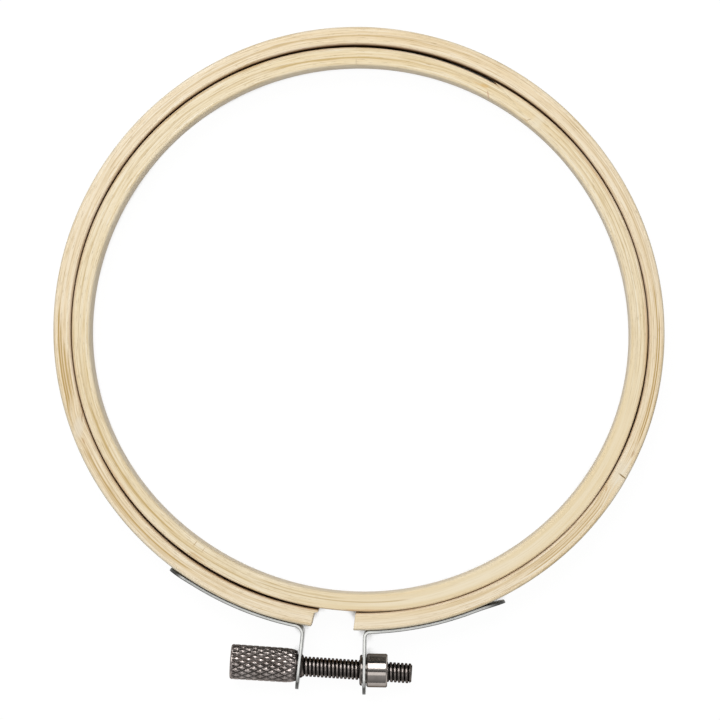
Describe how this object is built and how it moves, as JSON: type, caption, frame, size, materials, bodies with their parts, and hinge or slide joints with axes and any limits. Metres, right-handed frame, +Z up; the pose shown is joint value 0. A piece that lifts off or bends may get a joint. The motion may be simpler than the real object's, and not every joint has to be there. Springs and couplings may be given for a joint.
{
  "type": "embroidery hoop",
  "caption": "Round bamboo embroidery hoop of two nested rings, the outer one split and closed by a knurled thumb screw between two nailed steel ears.",
  "frame": {"origin": "middle of the hoop's footprint, on the plane that the rings lie on", "axes": "+Z up, square to the rings; +Y away from the clamp, through the middle of the rings; +X along the thumb screw, from its head to its tail"},
  "size_m": [0.1252, 0.1368, 0.009],
  "materials": {
    "bamboo_outer": "sanded bare bamboo",
    "bamboo_inner": "sanded bare bamboo",
    "plated_strip": "thin steel strip, zinc plated, satin",
    "nickel_screw": "dark nickel plate, knurled head, rolled thread",
    "nickel_nut": "dark nickel plate, turned",
    "nail_steel": "bright wire nail"
  },
  "bodies": {
    "outer": {"outer_ring": "bamboo_outer", "right_bracket": "plated_strip", "barrel_nut": "nickel_nut", "right_nail_1": "nail_steel", "right_nail_2": "nail_steel"},
    "left_clamp": {"left_bracket": "plated_strip", "left_nail_1": "nail_steel", "left_nail_2": "nail_steel"},
    "thumb_screw": {"thumb_screw": "nickel_screw"},
    "inner_ring": {"inner_ring": "bamboo_inner"}
  },
  "joints": [
    {"name": "clamp_gap", "type": "slide", "parent": "outer", "child": "left_clamp", "axis": [1, 0, 0], "range_m": [-0.00476, 0.00013], "deforming": ["outer_ring"]},
    {"name": "screw_turn", "type": "hinge", "parent": "left_clamp", "child": "thumb_screw", "pos_m": [-0.00804, -0.06341, 0.0045], "axis": [1, 0, 0], "range_deg": [-2160, 60]},
    {"name": "inner_ring_lift", "type": "slide", "parent": "outer", "child": "inner_ring", "axis": [0, 0, 1], "range_m": [0, 0.02]}
  ],
  "couplings": [
    {"joint": "screw_turn", "follows": "clamp_gap", "rad_per_m": 7915.8}
  ]
}
